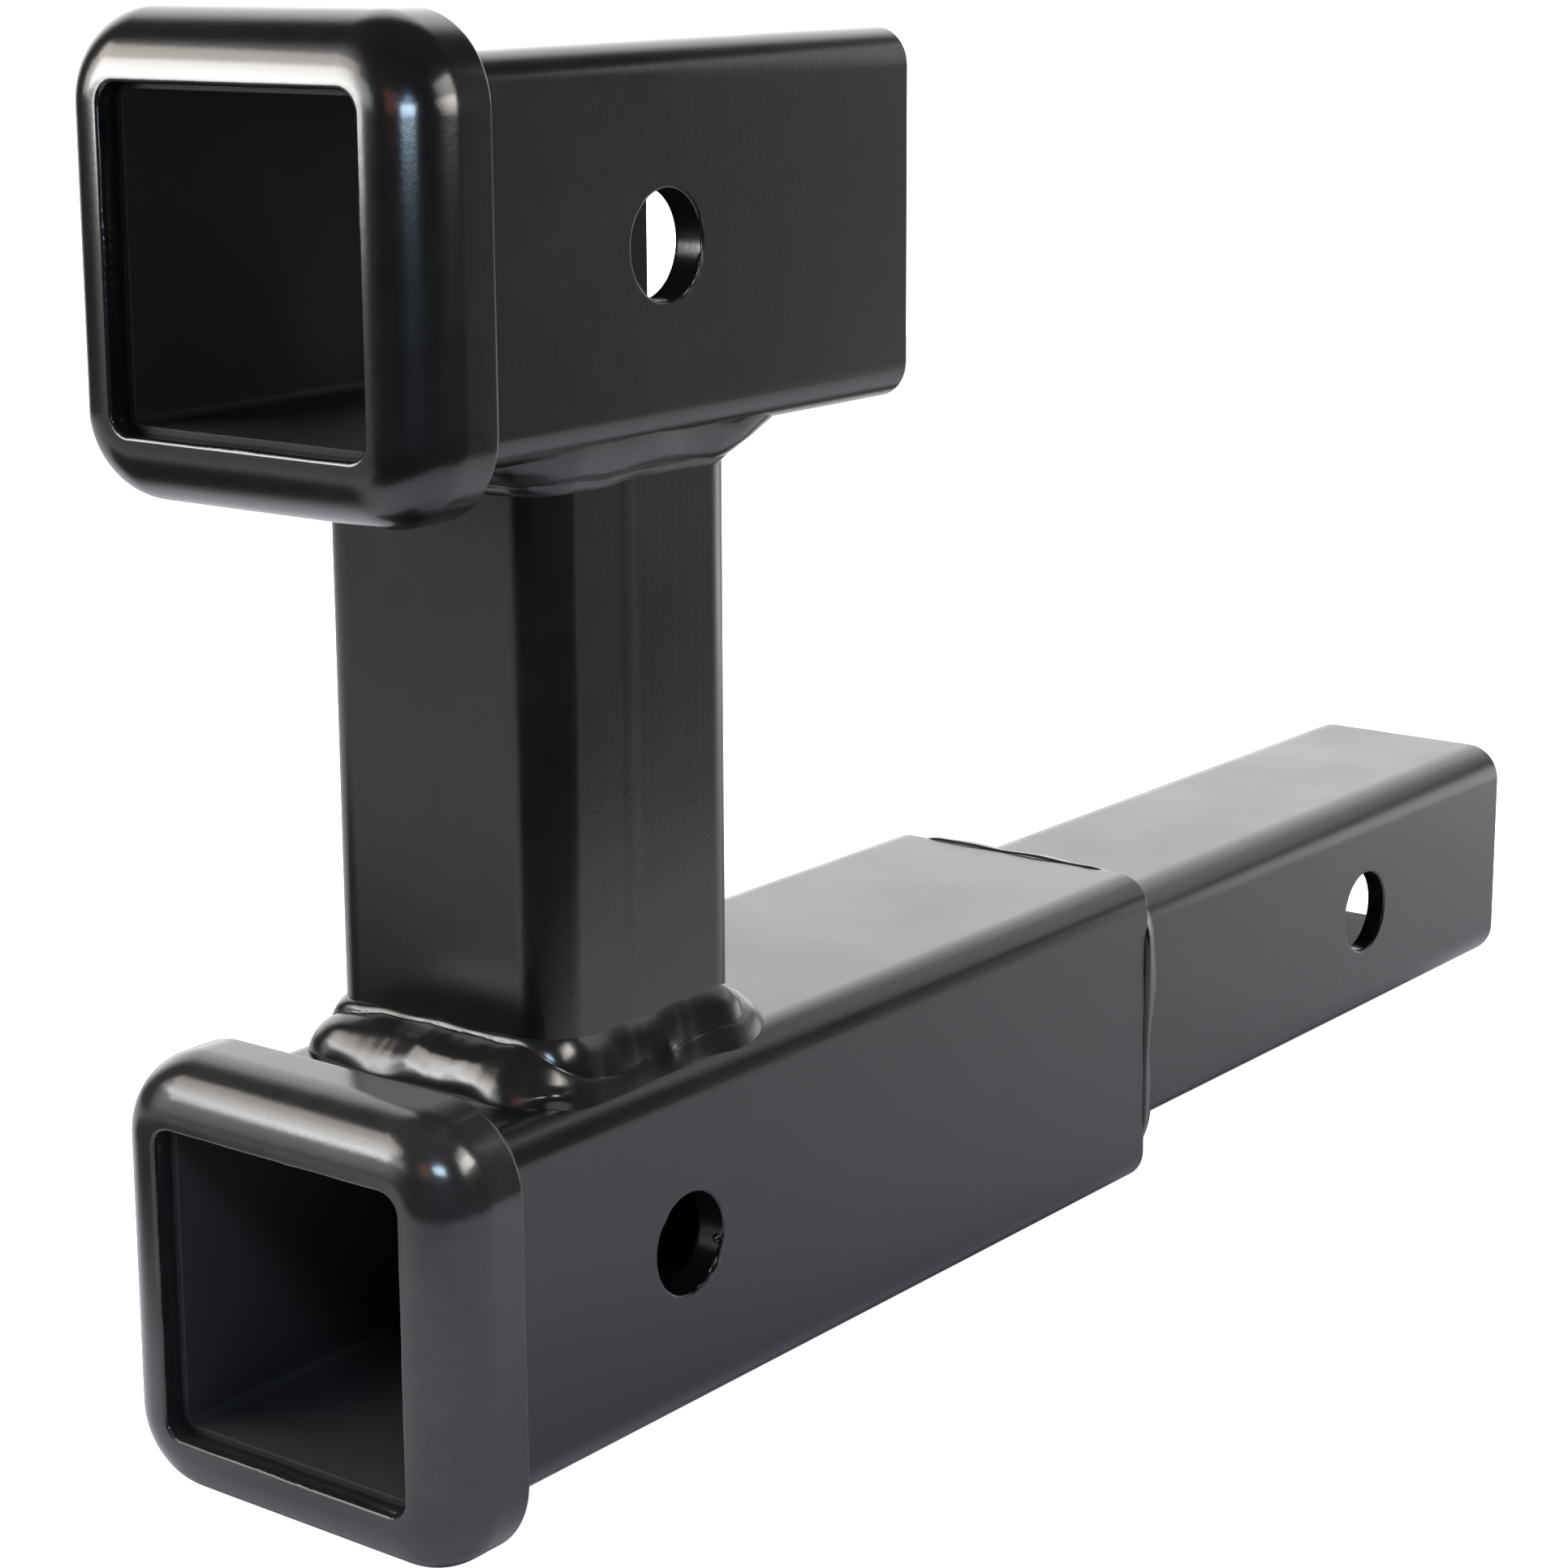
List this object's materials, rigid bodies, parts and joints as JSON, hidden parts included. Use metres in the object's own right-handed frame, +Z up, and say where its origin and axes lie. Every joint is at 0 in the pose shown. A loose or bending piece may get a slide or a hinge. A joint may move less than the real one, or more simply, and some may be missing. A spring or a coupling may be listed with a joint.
{
  "type": "hitch receiver extender",
  "caption": "Welded square-tube hitch extender: a shank with a cross pin hole carries a long receiver, and a riser post on it carries a shorter receiver above.",
  "frame": {"origin": "centre of the shank's cross pin hole, on the centre line of the shank and the lower receiver", "axes": "+X along the shank to its free end, away from both receiver mouths; +Y along the cross pin holes, to the side away from the picture's viewer; +Z up the riser post, from the lower receiver to the upper one"},
  "size_m": [0.3867, 0.0776, 0.2476],
  "materials": {
    "tube_paint": "semi-gloss black powder coat",
    "collar_paint": "gloss black powder coat",
    "weld_paint": "gloss black powder coat over weld bead"
  },
  "bodies": {
    "root": {"shank_tube": "tube_paint", "lower_receiver_tube": "tube_paint", "lower_collar": "collar_paint", "riser_post": "tube_paint", "upper_receiver_tube": "tube_paint", "upper_collar": "collar_paint", "shank_weld": "weld_paint", "post_lower_weld": "weld_paint", "post_upper_weld": "weld_paint", "lower_collar_weld": "weld_paint", "upper_collar_weld": "weld_paint"}
  },
  "joints": []
}
